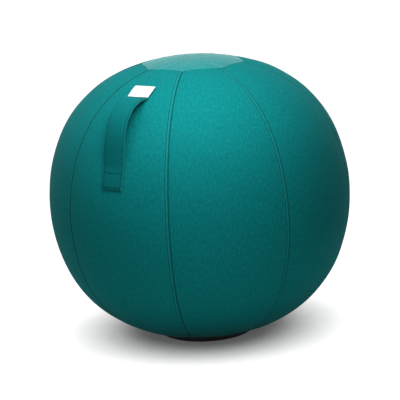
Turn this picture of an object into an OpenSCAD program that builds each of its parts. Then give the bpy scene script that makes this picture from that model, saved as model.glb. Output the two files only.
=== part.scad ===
// Exercise ball in a sewn fabric cover.
// A blown bladder sits inside a cover of eight gores, an eight-sided top cap and a
// round base panel. A ring under the bladder keeps the ball from rolling, a strap
// handle is sewn to one gore, and a zip at the back of the base opens the cover.
// Millimetres. The origin is on the floor under the ball's centre, +Z is up, and the
// handle faces -Y.

/* [Ball] */
// Widest diameter of the covered ball
ball_d = 642.4; // [500:0.2:900]
// How much less the ball's height is than its widest diameter
ball_sag = 42.4; // [25:0.2:80]
// Radius of the ball's shoulders, seen from the side
shoulder_r = 254.8; // [235:0.2:275]
// Wall of the bladder
bladder_wall = 0.8; // [0.6:0.1:2]

/* [Cover] */
// Thickness of the cover's fabric
fabric_t = 1.2; // [0.8:0.1:2]
// Distance from the ball's axis to a corner of the top cap
cap_r = 110; // [70:1:125]
// Width of the seam allowances, measured at the widest part of the ball
seam_w = 8; // [5:0.5:12]
// Gap between two neighbouring pieces of fabric at the widest part of the ball
seam_gap = 0.4; // [0.3:0.05:0.6]

/* [Base] */
// Radius of the flat sole
sole_r = 95; // [70:1:120]
// Radius of the rounded edge around the sole
sole_edge_r = 10; // [8:0.5:11]
// Thickness of the base panel
base_t = 1.5; // [1:0.1:2]
// Width of the sloping band between the rounded edge and the rim
base_slope_w = 7; // [5:0.5:12]
// Width of the base panel's rim, which lies in the ball's surface
base_rim_w = 10; // [9:0.5:14]
// Inner radius of the stabilising ring
ring_in_r = 62; // [40:1:66]

/* [Handle] */
// Width of the handle strap
handle_w = 48; // [30:1:60]
// Thickness of the webbing inside the handle
handle_core_t = 1; // [0.6:0.1:2]
// Width of the sewn margin on each side of the webbing
handle_margin = 4.5; // [3:0.5:8]
// Distance along the surface from the widest part of the ball up to the handle
handle_start = 80.5; // [40:1:100]
// Length of each sewn end of the handle
handle_patch = 32; // [20:1:40]
// Distance along the surface between the two sewn ends
handle_span = 171; // [130:1:190]
// Largest space between the ball and the handle
handle_rise = 25; // [18:1:35]
// Width of the label over the handle's upper end
label_w = 50; // [30:1:64]
// Length of the label
label_len = 33; // [20:1:40]
// Thickness of the label
label_t = 0.6; // [0.3:0.1:1]

/* [Zip] */
// Width of one half of the zip's chain
coil_w = 2.5; // [2:0.1:3]
// Height of the chain above its tape
coil_h = 1.9; // [1.4:0.1:2.2]
// Space between the two halves of the chain, where the slider's post runs
chain_gap = 1.2; // [1:0.1:1.6]
// Width of one tape
tape_w = 14; // [11:0.5:16]
// Thickness of the tapes
tape_t = 0.6; // [0.4:0.1:0.8]
// Width of tape left bare between the chain and the fabric on either side
tape_bare = 3; // [3:0.5:5]
// Length of the slider along the chain
slider_len = 10; // [8:0.5:14]
// Thickness of the slider's two plates
slider_plate = 1.1; // [0.8:0.1:1.2]
// Length of the pull tab from its pin to its tip
pull_len = 13.5; // [10:0.5:15]
// Width of the pull tab
pull_w = 6; // [5:0.5:8]
// Thickness of the pull tab
pull_t = 1.2; // [1:0.1:1.4]

/* [Valve] */
// Radius of the pocket in the bladder that holds the valve
pocket_r = 20; // [16:0.5:28]
// Height of the pocket's floor
pocket_z = 18; // [16:0.5:22]
// Radius of the valve's bore
valve_r = 4.2; // [3:0.1:6]
// Wall of the valve's neck
valve_wall = 2.8; // [2:0.1:4]
// Length of the valve's neck
valve_len = 9; // [6:0.5:9.5]
// Radius of the plug's head
plug_head_r = 9; // [7:0.5:12]
// Thickness of the plug's head
plug_head_t = 2.9; // [2:0.1:4]

/* [Clearances] */
// Between two layers of fabric that lie on each other
lay_gap = 0.15; // [0.12:0.01:0.2]
// Between a piece and a curved surface that it rests on
rest_gap = 0.25; // [0.2:0.01:0.3]
// Around the slider's channel
slide_gap = 0.3; // [0.25:0.01:0.4]
// Between the plug's stem and the valve's bore
valve_gap = 0.1; // [0.06:0.01:0.15]

/* [Hidden] */
$fn = 180;

// The ball's outline is five arcs that meet without a corner: a flat one at the bottom,
// a tighter one for the lower shoulder, a flat one at the side, the upper shoulder and
// a flat one at the top. The flat arcs' radii follow from the ball's size: what the arcs
// span across is half its width, and what they span upwards is half its height.
half_w = ball_d / 2;
half_h = (ball_d - ball_sag) / 2;
// The slopes where they meet make triangles with whole sides, 12, 35, 37 and 44, 117,
// 125, so the arcs' centres and radii come out as short numbers.
end_slope = 12 / 35;
side_slope = 44 / 117;
end_q = atan(end_slope);
side_q = 90 - atan(side_slope);
flat_across = half_w - shoulder_r * (sin(side_q) - sin(end_q));
flat_up = half_h - shoulder_r * (cos(end_q) - cos(side_q));
flat_share = sin(end_q) * cos(side_q) - (1 - sin(side_q)) * (1 - cos(end_q));
end_r = (flat_across * cos(side_q) - flat_up * (1 - sin(side_q))) / flat_share;
side_r = (flat_up * sin(end_q) - flat_across * (1 - cos(end_q))) / flat_share;

// Directions in the outline are angles from straight down: 0 is down, 90 is
// outwards and 180 is up.
function dir(q) = [sin(q), -cos(q)];
shoulder_c = [0, end_r] + (end_r - shoulder_r) * dir(end_q);
arc_ends = [0, end_q, side_q, 180 - side_q, 180 - end_q, 180];
arc_radii = [end_r, shoulder_r, side_r, shoulder_r, end_r];
arc_centres = [
    [0, end_r], shoulder_c, [half_w - side_r, half_h],
    [shoulder_c.x, 2 * half_h - shoulder_c.y], [0, 2 * half_h - end_r]
];
function arc_at(q) =
    q < end_q ? 0 : q < side_q ? 1 : q <= 180 - side_q ? 2 : q <= 180 - end_q ? 3 : 4;
// Point of the outline at direction q, a given depth under the ball's surface
function on_ball(q, depth) =
    let (i = arc_at(q)) arc_centres[i] + (arc_radii[i] - depth) * dir(q);
// Direction of the outline's lower half at a distance r from the axis
function q_at(r) =
    let (i = r <= on_ball(end_q, 0).x ? 0 : r <= on_ball(side_q, 0).x ? 1 : 2)
    asin((r - arc_centres[i].x) / arc_radii[i]);
// Angle about the ball's axis that a length takes at radius r
function turn(len, r) = len / r * 180 / PI;
// Direction of the outline at a length s above the ball's widest part
function q_above(s) =
    let (side_len = side_r * (90 - side_q) * PI / 180)
    s <= side_len ? 90 + turn(s, side_r) : 180 - side_q + turn(s - side_len, shoulder_r);

gore_count = 8;
gore_turn = 360 / gore_count;
front = 270;
eps = 0.01;
// How far the layers of one piece run into each other, so that they are one solid
weld = 0.1;

// Layers under the surface, as depths
zip_depth = max(fabric_t, base_t) + rest_gap;
slider_in = zip_depth + tape_t + slide_gap;
seam_stack = 3 * fabric_t + 2 * lay_gap;
bladder_depth = max(seam_stack, slider_in + slider_plate) + rest_gap + lay_gap;

// Rings of the base, as distances from the axis
rim_in = sole_r + sole_edge_r + base_slope_w;
rim_out = rim_in + base_rim_w;
chain_r = rim_out + tape_bare + coil_w + chain_gap / 2;
zip_top = chain_r + chain_gap / 2 + coil_w + tape_bare;
tape_in = chain_r - chain_gap / 2 - tape_w;
tape_out = chain_r + chain_gap / 2 + tape_w;
base_hem = rim_out + seam_w;
hem_start = tape_out + 3;

// The zip runs behind the three gores at the back
zip_from = 90 - gore_turn * 1.5;
zip_to = 90 + gore_turn * 1.5;
tape_end = turn(1.5, chain_r);
stop_len = turn(2.5, chain_r);
stop_space = turn(0.3, chain_r);
slider_turn = turn(slider_len, chain_r);
chain_from = zip_from + tape_end + stop_len + stop_space;
chain_to = zip_to - tape_end - stop_len - stop_space;
slider_at = chain_to - slider_turn / 2 - stop_space;
slider_out = zip_depth - coil_h - lay_gap - slide_gap;
lip_w = 1.1;
slider_half = chain_gap / 2 + coil_w + slide_gap + lip_w + lay_gap;

// Sewn ends of the handle, as directions in the outline
handle_q0 = q_above(handle_start);
handle_q1 = q_above(handle_start + handle_patch);
handle_q2 = q_above(handle_start + handle_patch + handle_span);
handle_q3 = q_above(handle_start + 2 * handle_patch + handle_span);
handle_t = 2 * fabric_t + handle_core_t + 2 * lay_gap;
label_q = turn(label_len, shoulder_r);

// --- Outline helpers -----------------------------------------------------------

// Point well outside the ball, in direction q from the centre c of an arc. Where two
// arcs meet, it lies on the line through both centres, so that their ends fit.
function far_point(c, q) =
    let (reach = 8, joins = [for (i = [1:4]) if (abs(q - arc_ends[i]) < eps / 100) i])
    len(joins) == 0 ? c + 2 * end_r * dir(q)
    : let (flat = arc_centres[2 * floor(joins[0] / 2)], tight = arc_centres[joins[0] < 3 ? 1 : 3])
        flat + reach * (tight - flat);

// Part of a ring round c, between two radii and the directions q0 and q1
module ring_sector(c, r_out, r_in, q0, q1) {
    steps = 4;
    if (q1 > q0 + eps)
        intersection() {
            difference() {
                translate(c) circle(r_out);
                translate(c) circle(r_in);
            }
            polygon(concat([c], [for (i = [0:steps]) far_point(c, q0 + (q1 - q0) * i / steps)]));
        }
}

// Short band inside a strip's wall that ties it together where two arcs meet
module tie(depth_out, depth_in, q0, q1, join) {
    q = arc_ends[join];
    half_q = turn(0.5, shoulder_r);
    inset = (depth_in - depth_out) / 4;
    if (q0 < q - half_q && q1 > q + half_q)
        ring_sector(arc_centres[join < 3 ? 1 : 3], shoulder_r - depth_out - inset,
            shoulder_r - depth_in + inset, q - half_q, q + half_q);
}

// Strip of the outline between two depths, from direction q0 up to q1
module strip(depth_out, depth_in, q0, q1) {
    for (join = [1:4]) tie(depth_out, depth_in, q0, q1, join);
    for (i = [0:4])
        ring_sector(arc_centres[i], arc_radii[i] - depth_out, arc_radii[i] - depth_in,
            max(q0, arc_ends[i]), min(q1, arc_ends[i + 1]));
}

// A strip turned about the ball's axis from angle a0 to angle a1
module turned(a0, a1) {
    rotate([0, 0, a0]) rotate_extrude(angle = a1 - a0) children();
}

// Upright eight-sided prism over the top of the ball, corners on the gore seams
module cap_prism(r) {
    translate([0, 0, half_h]) rotate([0, 0, gore_turn / 2])
        cylinder(h = ball_d, r = r, $fn = gore_count);
}

// --- Inside the cover ----------------------------------------------------------

module bladder() {
    wall_in = bladder_depth + bladder_wall;
    pocket_low = end_r - sqrt(pow(end_r - bladder_depth, 2) - pow(pocket_r, 2)) + lay_gap;
    color("darkslategray") rotate_extrude() {
        difference() {
            strip(bladder_depth, wall_in, 0, 180);
            square([pocket_r, pocket_z]);
        }
        translate([pocket_r, pocket_low])
            square([bladder_wall, pocket_z + bladder_wall - pocket_low]);
        translate([valve_r + valve_wall + lay_gap, pocket_z])
            square([pocket_r + bladder_wall - valve_r - valve_wall - lay_gap, bladder_wall]);
    }
}

module valve_seat() {
    neck_r = valve_r + valve_wall;
    flange_t = 1.5;
    flange_r = pocket_r - 4 * flange_t;
    color("whitesmoke") difference() {
        union() {
            translate([0, 0, pocket_z]) cylinder(h = valve_len, r = neck_r);
            translate([0, 0, pocket_z + bladder_wall]) cylinder(h = flange_t, r = flange_r);
        }
        translate([0, 0, pocket_z - 1]) cylinder(h = valve_len + 2, r = valve_r);
    }
}

module valve_plug() {
    head_top = pocket_z - lay_gap;
    stem_r = valve_r - valve_gap;
    tip_h = 2;
    color("white") {
        translate([0, 0, head_top - plug_head_t]) cylinder(h = plug_head_t, r = plug_head_r);
        translate([0, 0, head_top]) cylinder(h = valve_len + lay_gap, r = stem_r);
        translate([0, 0, head_top + valve_len + lay_gap])
            cylinder(h = tip_h, r1 = stem_r, r2 = stem_r - 1);
    }
}

module base_ring() {
    low = base_t + rest_gap;
    edge_r = sole_edge_r - base_t - rest_gap;
    height = 2 * edge_r;
    color("dimgray") rotate_extrude() intersection() {
        union() {
            translate([ring_in_r, low]) square([sole_r - ring_in_r, height]);
            intersection() {
                translate([sole_r, low + edge_r]) circle(edge_r);
                translate([sole_r, low]) square([2 * edge_r, height]);
            }
        }
        strip(-sole_edge_r, bladder_depth - rest_gap, 0, 90);
    }
}

// --- Cover ---------------------------------------------------------------------

module base_panel() {
    edge_q = 70;
    centre = [sole_r, sole_edge_r];
    edge_in = sole_edge_r - base_t;
    low_q = edge_q - turn(weld, sole_edge_r);
    high_q = q_at(rim_in + weld);
    color("black") {
        rotate_extrude() {
            square([sole_r, base_t]);
            ring_sector(centre, sole_edge_r, edge_in, 0, edge_q);
            polygon([
                centre + (sole_edge_r - weld) * dir(low_q),
                on_ball(high_q, weld),
                on_ball(high_q, base_t - weld),
                centre + (edge_in + weld) * dir(low_q)
            ]);
            strip(0, base_t, q_at(rim_in), q_at(rim_out));
        }
        turned(zip_to, zip_from + 360)
            strip(base_t, base_t + fabric_t, q_at(rim_in + 1), q_at(base_hem));
    }
}

// One gore. Its right edge is turned under it, and its left edge runs on under the
// gore to the left, where both allowances are stitched down.
module gore(k) {
    middle = front + gore_turn * (k - 1);
    behind_zip = k >= 4 && k <= 6;
    a_left = middle - gore_turn / 2 + turn(seam_gap, half_w) / 2;
    a_right = middle + gore_turn / 2 - turn(seam_gap, half_w) / 2;
    a_hem = turn(seam_w, half_w);
    a_fold = turn(fabric_t, half_w);
    a_step = turn(seam_gap, half_w);
    q_low = q_at(behind_zip ? zip_top : rim_out + rest_gap);
    q_hem = q_at(hem_start);
    q_fold = q_at(hem_start + fabric_t);
    q_top = 180 - q_at(cap_r * cos(gore_turn / 2) - seam_w);
    deep = 2 * fabric_t + lay_gap;
    color("teal") difference() {
        union() {
            turned(a_left, a_right) strip(0, fabric_t, q_low, q_top);
            turned(a_right - a_hem, a_right - a_step)
                strip(fabric_t - weld, 2 * fabric_t, q_hem, q_top);
            turned(a_left + a_step, a_left + a_fold)
                strip(fabric_t - weld, deep + weld, q_fold, q_top);
            turned(a_left - a_hem, a_left + a_fold + a_step)
                strip(deep, deep + fabric_t, q_hem, q_top);
        }
        cap_prism(cap_r);
    }
}

module top_cap() {
    q_edge = 180 - q_at(cap_r + seam_w);
    q_hem = 180 - q_at(cap_r * cos(gore_turn / 2) - 2 * seam_w);
    color("teal") intersection() {
        union() {
            turned(0, 360) strip(0, fabric_t, q_edge, 180);
            difference() {
                turned(0, 360) strip(fabric_t, 2 * fabric_t, q_edge, q_hem);
                cap_prism(cap_r - seam_w);
            }
        }
        cap_prism(cap_r - rest_gap);
    }
}

// --- Handle --------------------------------------------------------------------

// Space under the handle at direction q: it rises slowly from the lower sewn end and
// falls steeply to the upper one.
rise_low = 1.8;
rise_high = 1.1;
function rise_shape(t) = pow(t, rise_low) * pow(1 - t, rise_high);
function rise_at(q) =
    let (t = (q - handle_q1) / (handle_q2 - handle_q1), peak = rise_low / (rise_low + rise_high))
    t <= 0 || t >= 1 ? 0 : handle_rise * rise_shape(t) / rise_shape(peak);

// Point of a layer of the handle: x across the strap, at direction q
function strap_point(x, q, low) =
    let (p = on_ball(q, -rise_at(q) - low)) [x, -sqrt(p.x * p.x - x * x), p.y];

// Directions at which every layer of the handle has a ring of points
function even(q0, q1, steps) = [for (i = [1:steps]) q0 + (q1 - q0) * i / steps];
handle_rings = concat([handle_q0], even(handle_q0, handle_q1, 5),
    even(handle_q1, handle_q2, 30), even(handle_q2, handle_q3, 5));

// Layer of the handle, from q0 to q1, that starts at height low above the ball
module strap(q0, q1, width, low, thick) {
    across = 4;
    ring_q = concat([q0], [for (q = handle_rings) if (q > q0 + eps && q < q1 - eps) q], [q1]);
    rings = len(ring_q) - 1;
    row = 2 * (across + 1);
    points = [for (q = ring_q)
        each concat(
            [for (j = [0:across]) strap_point(width * (j / across - 0.5), q, low)],
            [for (j = [across:-1:0]) strap_point(width * (j / across - 0.5), q, low + thick)]
        )];
    sides = [for (i = [0:rings - 1], j = [0:row - 1]) let (a = i * row, n = (j + 1) % row)
        each [[a + j, a + row + j, a + n], [a + n, a + row + j, a + row + n]]];
    ends = [for (j = [0:across - 1]) each [
        [j, j + 1, row - 1 - j], [j + 1, row - 2 - j, row - 1 - j],
        [rings * row + j, rings * row + row - 1 - j, rings * row + j + 1],
        [rings * row + j + 1, rings * row + row - 1 - j, rings * row + row - 2 - j]
    ]];
    polyhedron(points, concat(sides, ends));
}

module handle_back() {
    color("darkcyan") strap(handle_q0, handle_q3, handle_w, rest_gap, fabric_t);
}

module handle_core() {
    margin_q = turn(handle_margin, shoulder_r);
    color("dimgray") strap(handle_q0 + margin_q, handle_q3 - margin_q,
        handle_w - 2 * handle_margin, rest_gap + fabric_t + lay_gap, handle_core_t);
}

module handle_face() {
    color("darkcyan") strap(handle_q0, handle_q3, handle_w,
        rest_gap + handle_t - fabric_t, fabric_t);
}

module label() {
    color("white") strap(handle_q2, handle_q2 + label_q, label_w,
        rest_gap + handle_t + lay_gap, label_t);
}

// --- Zip -----------------------------------------------------------------------

// Strip of the zip from radius r0 to r1, along the whole tape
module zip_band(depth_out, depth_in, r0, r1, a0, a1) {
    turned(a0, a1) strip(depth_out, depth_in, q_at(r0), q_at(r1));
}

module zip_tape_lower() {
    color("black") zip_band(zip_depth, zip_depth + tape_t,
        tape_in, chain_r - chain_gap / 2, zip_from + tape_end / 2, zip_to - tape_end / 2);
}

module zip_tape_upper() {
    color("black") zip_band(zip_depth, zip_depth + tape_t,
        chain_r + chain_gap / 2, tape_out, zip_from + tape_end / 2, zip_to - tape_end / 2);
}

module zip_chain_lower() {
    inner = chain_r - chain_gap / 2;
    color("gray") zip_band(zip_depth - lay_gap - coil_h, zip_depth - lay_gap,
        inner - coil_w, inner, chain_from, chain_to);
}

module zip_chain_upper() {
    inner = chain_r + chain_gap / 2;
    color("gray") zip_band(zip_depth - lay_gap - coil_h, zip_depth - lay_gap,
        inner, inner + coil_w, chain_from, chain_to);
}

// Block that closes one end of the chain
module zip_stop(a0) {
    half = chain_gap / 2 + coil_w;
    color("silver") zip_band(zip_depth - lay_gap - coil_h, zip_depth - lay_gap,
        chain_r - half, chain_r + half, a0, a0 + stop_len);
}

module zip_stop_closed() { zip_stop(zip_to - tape_end - stop_len); }
module zip_stop_open() { zip_stop(zip_from + tape_end); }

// Moves into the slider's own axes: X across the chain, Y along it, -Z away from
// the ball
module at_slider() {
    q = q_at(chain_r);
    p = on_ball(q, 0);
    rotate([0, 0, slider_at]) translate([p.x, 0, p.y]) rotate([0, -q, 0]) children();
}

crown_w = 2;
crown_leg = 1.2;
crown_len = 6.8;
pull_pin_r = 0.6;
crown_in_h = 2 * (pull_pin_r + 0.5);
crown_top_t = 0.8;
plate_face = slider_out - slider_plate;
pull_axis = plate_face - crown_in_h / 2;

// Part of the slider, from radius r0 to r1, all of it on the arc under its middle
module slider_band(depth_out, depth_in, r0, r1, a0, a1) {
    q = q_at(chain_r);
    c = arc_centres[arc_at(q)];
    r = arc_radii[arc_at(q)];
    turned(a0, a1) ring_sector(c, r - depth_out, r - depth_in,
        asin((r0 - c.x) / r), asin((r1 - c.x) / r));
}

module zip_slider() {
    a0 = slider_at - slider_turn / 2;
    a1 = slider_at + slider_turn / 2;
    edge_in = chain_r - slider_half;
    edge_out = chain_r + slider_half;
    lip_depth = zip_depth - slide_gap;
    post_half = chain_gap / 2 - slide_gap;
    post_turn = slider_turn * 0.4;
    inset = turn(weld, chain_r);
    color("silver") {
        slider_band(plate_face, slider_out, edge_in, edge_out, a0, a1);
        slider_band(slider_in, slider_in + slider_plate, edge_in, edge_out, a0, a1);
        slider_band(slider_out - weld, lip_depth,
            edge_in + weld, edge_in + lip_w, a0 + inset, a1 - inset);
        slider_band(slider_out - weld, lip_depth,
            edge_out - lip_w, edge_out - weld, a0 + inset, a1 - inset);
        slider_band(slider_out - weld, slider_in + weld,
            chain_r - post_half, chain_r + post_half, a0 + inset, a0 + post_turn);
        at_slider() difference() {
            translate([-crown_w / 2, -crown_len / 2, plate_face - crown_in_h - crown_top_t])
                cube([crown_w, crown_len, crown_in_h + crown_top_t + slider_plate / 2]);
            translate([-crown_w, crown_leg - crown_len / 2, plate_face - crown_in_h])
                cube([2 * crown_w, crown_len - 2 * crown_leg, crown_in_h]);
        }
    }
}

module zip_pull() {
    arm_w = 1.2;
    arm_len = 4.6;
    eye_r = 1.3;
    color("silver") at_slider() translate([0, 0, pull_axis]) {
        rotate([0, 90, 0]) cylinder(h = pull_w - 0.4, r = pull_pin_r, center = true);
        for (side = [-1, 1])
            translate([side * (pull_w / 2 - arm_w / 2 - 0.2) - arm_w / 2, -pull_t / 2, -arm_len - 1])
                cube([arm_w, pull_t, arm_len + 1]);
        difference() {
            union() {
                translate([-pull_w / 2, -pull_t / 2, -pull_len + pull_w / 2])
                    cube([pull_w, pull_t, pull_len - pull_w / 2 - arm_len]);
                translate([0, 0, -pull_len + pull_w / 2]) rotate([90, 0, 0])
                    cylinder(h = pull_t, r = pull_w / 2, center = true);
            }
            translate([0, 0, -pull_len + pull_w / 2]) rotate([90, 0, 0])
                cylinder(h = 2 * pull_t, r = eye_r, center = true);
        }
    }
}

bladder();
valve_seat();
valve_plug();
base_ring();
base_panel();
gore(1);  // gore_1
gore(2);  // gore_2
gore(3);  // gore_3
gore(4);  // gore_4
gore(5);  // gore_5
gore(6);  // gore_6
gore(7);  // gore_7
gore(8);  // gore_8
top_cap();
handle_face();
handle_core();
handle_back();
label();
zip_tape_lower();
zip_tape_upper();
zip_chain_lower();
zip_chain_upper();
zip_stop_closed();
zip_stop_open();
zip_slider();
zip_pull();
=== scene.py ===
# %% [markdown]
# # A covered sitting ball
#
# A sitting ball is a blown bladder in a sewn cover: eight gores like the segments of
# an orange, an eight-sided cap on top, and a tough base with a ring that keeps the
# ball from rolling. A strap on one gore is the handle, and a zip at the back of the
# base lets the bladder in. This lesson dresses the finished hard model of that ball
# in cloth, thread and metal. It starts by loading the hard model, which gives every
# piece its place and says what moves.

# %% Load the hard model
import math

import bmesh
import bpy
import numpy as np
from mathutils import Matrix, Vector


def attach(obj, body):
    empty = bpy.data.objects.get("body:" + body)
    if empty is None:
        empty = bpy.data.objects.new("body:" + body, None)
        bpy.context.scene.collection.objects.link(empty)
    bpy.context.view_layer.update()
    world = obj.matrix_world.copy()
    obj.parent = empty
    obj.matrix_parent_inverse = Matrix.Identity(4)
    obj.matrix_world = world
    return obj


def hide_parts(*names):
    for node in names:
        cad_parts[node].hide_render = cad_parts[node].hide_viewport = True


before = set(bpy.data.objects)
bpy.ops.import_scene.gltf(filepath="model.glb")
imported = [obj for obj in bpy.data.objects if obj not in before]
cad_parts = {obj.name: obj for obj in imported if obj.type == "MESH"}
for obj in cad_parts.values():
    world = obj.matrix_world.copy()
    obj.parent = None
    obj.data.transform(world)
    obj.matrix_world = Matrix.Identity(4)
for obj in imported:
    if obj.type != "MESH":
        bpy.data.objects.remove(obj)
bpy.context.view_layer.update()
MM = 0.001

# %% [markdown]
# ## The ball's outline
#
# Pressed by its own weight and held by its cover, the ball is wider than it is high
# and a little square. Seen from the side its outline is five arcs that meet without a
# corner: flat ones at the bottom, the side and the top, and a tighter one for each
# shoulder. A sphere that is scaled down in height would be simpler, but its shoulders
# would be too lean. Everything that lies on the ball is placed with this outline: a
# direction from straight down, and a height over the surface.

# %% The outline as a function
HALF_W = 321.2 * MM
HALF_H = 300 * MM
SHOULDER_R = 254.8 * MM
END_Q, SIDE_Q = math.atan(12 / 35), math.pi / 2 - math.atan(44 / 117)


def flat_radii():
    """Radii of the end arcs and of the side arc: what the arcs span across adds up to
    half the width, and what they span upwards to half the height."""
    across = HALF_W - SHOULDER_R * (math.sin(SIDE_Q) - math.sin(END_Q))
    up = HALF_H - SHOULDER_R * (math.cos(END_Q) - math.cos(SIDE_Q))
    spans = [[math.sin(END_Q), 1 - math.sin(SIDE_Q)], [1 - math.cos(END_Q), math.cos(SIDE_Q)]]
    return np.linalg.solve(spans, [across, up])


END_R, SIDE_R = flat_radii()
SHOULDER_X = (END_R - SHOULDER_R) * math.sin(END_Q)
SHOULDER_Z = END_R - (END_R - SHOULDER_R) * math.cos(END_Q)
ARC_Q = np.array([0, END_Q, SIDE_Q, math.pi - SIDE_Q, math.pi - END_Q, math.pi])
ARC_R = np.array([END_R, SHOULDER_R, SIDE_R, SHOULDER_R, END_R])
ARC_X = np.array([0, SHOULDER_X, HALF_W - SIDE_R, SHOULDER_X, 0])
ARC_Z = np.array([END_R, SHOULDER_Z, HALF_H, 2 * HALF_H - SHOULDER_Z, 2 * HALF_H - END_R])
ARC_S = np.concatenate([[0], np.cumsum(ARC_R * np.diff(ARC_Q))])
FULL_LEN = float(ARC_S[-1])


def outline(q, height=0.0):
    """Distance from the axis and height above the floor at direction q, in radians from
    straight down: the arc's centre plus its radius, with height added, times
    (sin q, -cos q)."""
    q = np.asarray(q, float)
    arc = np.searchsorted(ARC_Q[1:-1], q)
    radius = ARC_R[arc] + height
    return ARC_X[arc] + radius * np.sin(q), ARC_Z[arc] - radius * np.cos(q)


def q_from_length(s):
    """Direction after walking the length s up the outline from the bottom: length over
    the arc's radius, arc by arc."""
    s = np.asarray(s, float)
    arc = np.searchsorted(ARC_S[1:-1], s)
    return ARC_Q[arc] + (s - ARC_S[arc]) / ARC_R[arc]


def length_from_q(q):
    """Length walked up the outline from the bottom to direction q."""
    q = np.asarray(q, float)
    arc = np.searchsorted(ARC_Q[1:-1], q)
    return ARC_S[arc] + (q - ARC_Q[arc]) * ARC_R[arc]


def q_at(r):
    """Direction in the lower half where the outline is the distance r from the axis."""
    r = np.asarray(r, float)
    ends = ARC_X[:2] + ARC_R[:2] * np.sin(ARC_Q[1:3])
    arc = np.searchsorted(ends, r)
    return np.arcsin(np.clip((r - ARC_X[arc]) / ARC_R[arc], -1, 1))


def on_ball(turn, q, height=0.0):
    """Points of the ball's surface: the outline at q, turned about the upright axis."""
    r, z = outline(q, height)
    return np.stack(np.broadcast_arrays(r * np.cos(turn), r * np.sin(turn), z), -1)


print("outline length from bottom to top:", round(FULL_LEN, 4), "m")

# %% [markdown]
# ## From points to meshes
#
# Nearly every piece here is a sheet: a grid of points that a function gives, and a
# second grid a little below it, closed along the rim. Blender's Solidify modifier
# would do that too, but two grids keep full control of the rim, where the cloth is
# folded in. The grid's own columns and rows also give a cloth map in millimetres,
# which the weave follows over every bend.

# %% Mesh helpers
def cell_corners(index):
    """Corners of each cell of a grid of vertex numbers, counter-clockwise."""
    cells = index[:-1, :-1], index[:-1, 1:], index[1:, 1:], index[1:, :-1]
    return np.stack(cells, -1).reshape(-1, 4)


def finish_mesh(name, points, faces, cloth=None, sharp=50, marks=None, merge=True):
    """Makes an object at the origin from points and faces. cloth is the map (across,
    along) in millimetres for each point, and marks are named values for each point."""
    mesh = bpy.data.meshes.new(name)
    points = np.asarray(points, float).reshape(-1, 3)
    faces = faces if isinstance(faces, list) else faces.tolist()
    mesh.from_pydata(points.tolist(), [], faces)
    if cloth is not None:
        corner = np.zeros(len(mesh.loops), np.int32)
        mesh.loops.foreach_get("vertex_index", corner)
        layer = mesh.uv_layers.new(name="cloth")
        flat = np.asarray(cloth, float).reshape(-1, 2)[corner]
        layer.data.foreach_set("uv", flat.astype(np.float32).ravel())
    for key, value in (marks or {}).items():
        attribute = mesh.attributes.new(key, "FLOAT", "POINT")
        attribute.data.foreach_set("value", np.asarray(value, np.float32).ravel())
    if merge:
        shape = bmesh.new()
        shape.from_mesh(mesh)
        bmesh.ops.remove_doubles(shape, verts=shape.verts, dist=1e-6)
        shape.to_mesh(mesh)
        shape.free()
    mesh.polygons.foreach_set("use_smooth", np.ones(len(mesh.polygons), bool))
    mesh.set_sharp_from_angle(angle=math.radians(sharp))
    piece = bpy.data.objects.new(name, mesh)
    bpy.context.scene.collection.objects.link(piece)
    return piece


def sheet_faces(rows, columns, wrap=False, poles=(False, False)):
    """Faces of a closed sheet of two grids, top then bottom. The columns run from the
    top's over the rim to the bottom's in reverse, and the two end rows are closed.
    With wrap, the columns close into a ring instead. An end row that is a single
    point, a pole, has no rim to close."""
    top = np.arange(rows * columns).reshape(rows, columns)
    low = top + rows * columns
    if wrap:
        top = np.hstack([top, top[:, :1]])
        low = np.hstack([low, low[:, :1]])
        around = [cell_corners(top), cell_corners(low[:, ::-1])]
    else:
        around = [cell_corners(np.hstack([top, low[:, ::-1], top[:, :1]]))]
    first = np.stack([top[0, :-1], low[0, :-1], low[0, 1:], top[0, 1:]], -1)
    last = np.stack([top[-1, :-1], top[-1, 1:], low[-1, 1:], low[-1, :-1]], -1)
    rims = [rim for rim, pole in zip((first, last), poles) if not pole]
    return np.vstack([*around, *rims])


def grid_normals(grid):
    """Unit normals of a grid: the cross product of its steps across and along."""
    across = np.gradient(grid, axis=1)
    along = np.gradient(grid, axis=0)
    normal = np.cross(across, along)
    return normal / np.maximum(np.linalg.norm(normal, axis=-1, keepdims=True), 1e-12)


def sheet_piece(name, top, thickness, cloth=None, low=None, wrap=False,
                poles=(False, False), marks=None, sharp=50):
    """A sheet with its upper face on the grid top, and its lower face a thickness
    below along the normals, unless low gives it."""
    if low is None:
        low = top - grid_normals(top) * thickness
    rows, columns = top.shape[:2]
    points = np.concatenate([top.reshape(-1, 3), low.reshape(-1, 3)])
    maps = None if cloth is None else np.concatenate([cloth.reshape(-1, 2)] * 2)
    twice = {k: np.concatenate([np.ravel(v)] * 2) for k, v in (marks or {}).items()}
    faces = sheet_faces(rows, columns, wrap, poles)
    return finish_mesh(name, points, faces, maps, sharp, twice)


def revolved_piece(name, r, z, thickness, columns, **more):
    """A wall whose outer face is a profile turned about the upright axis: each point
    (r cos a, r sin a, z). The inner face lies a thickness behind the profile, along
    its tangent turned a quarter."""
    turn = np.linspace(0, 2 * math.pi, columns, endpoint=False)
    tr, tz = np.gradient(r), np.gradient(z)
    size = np.maximum(np.hypot(tr, tz), 1e-12)
    in_r = np.maximum(r - tz / size * thickness, 0)
    in_z = z + tr / size * thickness
    in_r[np.asarray(r) == 0] = 0
    grids = [np.stack(np.broadcast_arrays(a[:, None] * np.cos(turn), a[:, None] * np.sin(turn),
                                          b[:, None]), -1) for a, b in ((r, z), (in_r, in_z))]
    return sheet_piece(name, grids[0], thickness, low=grids[1], wrap=True,
                       poles=(r[0] == 0, r[-1] == 0), **more)


def place(piece, body, slot, *replaced):
    """The piece rides on a body and stands for nodes. slot is not used."""
    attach(piece, body)
    if replaced:
        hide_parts(*replaced)
    return piece


print("helpers ready")

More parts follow.
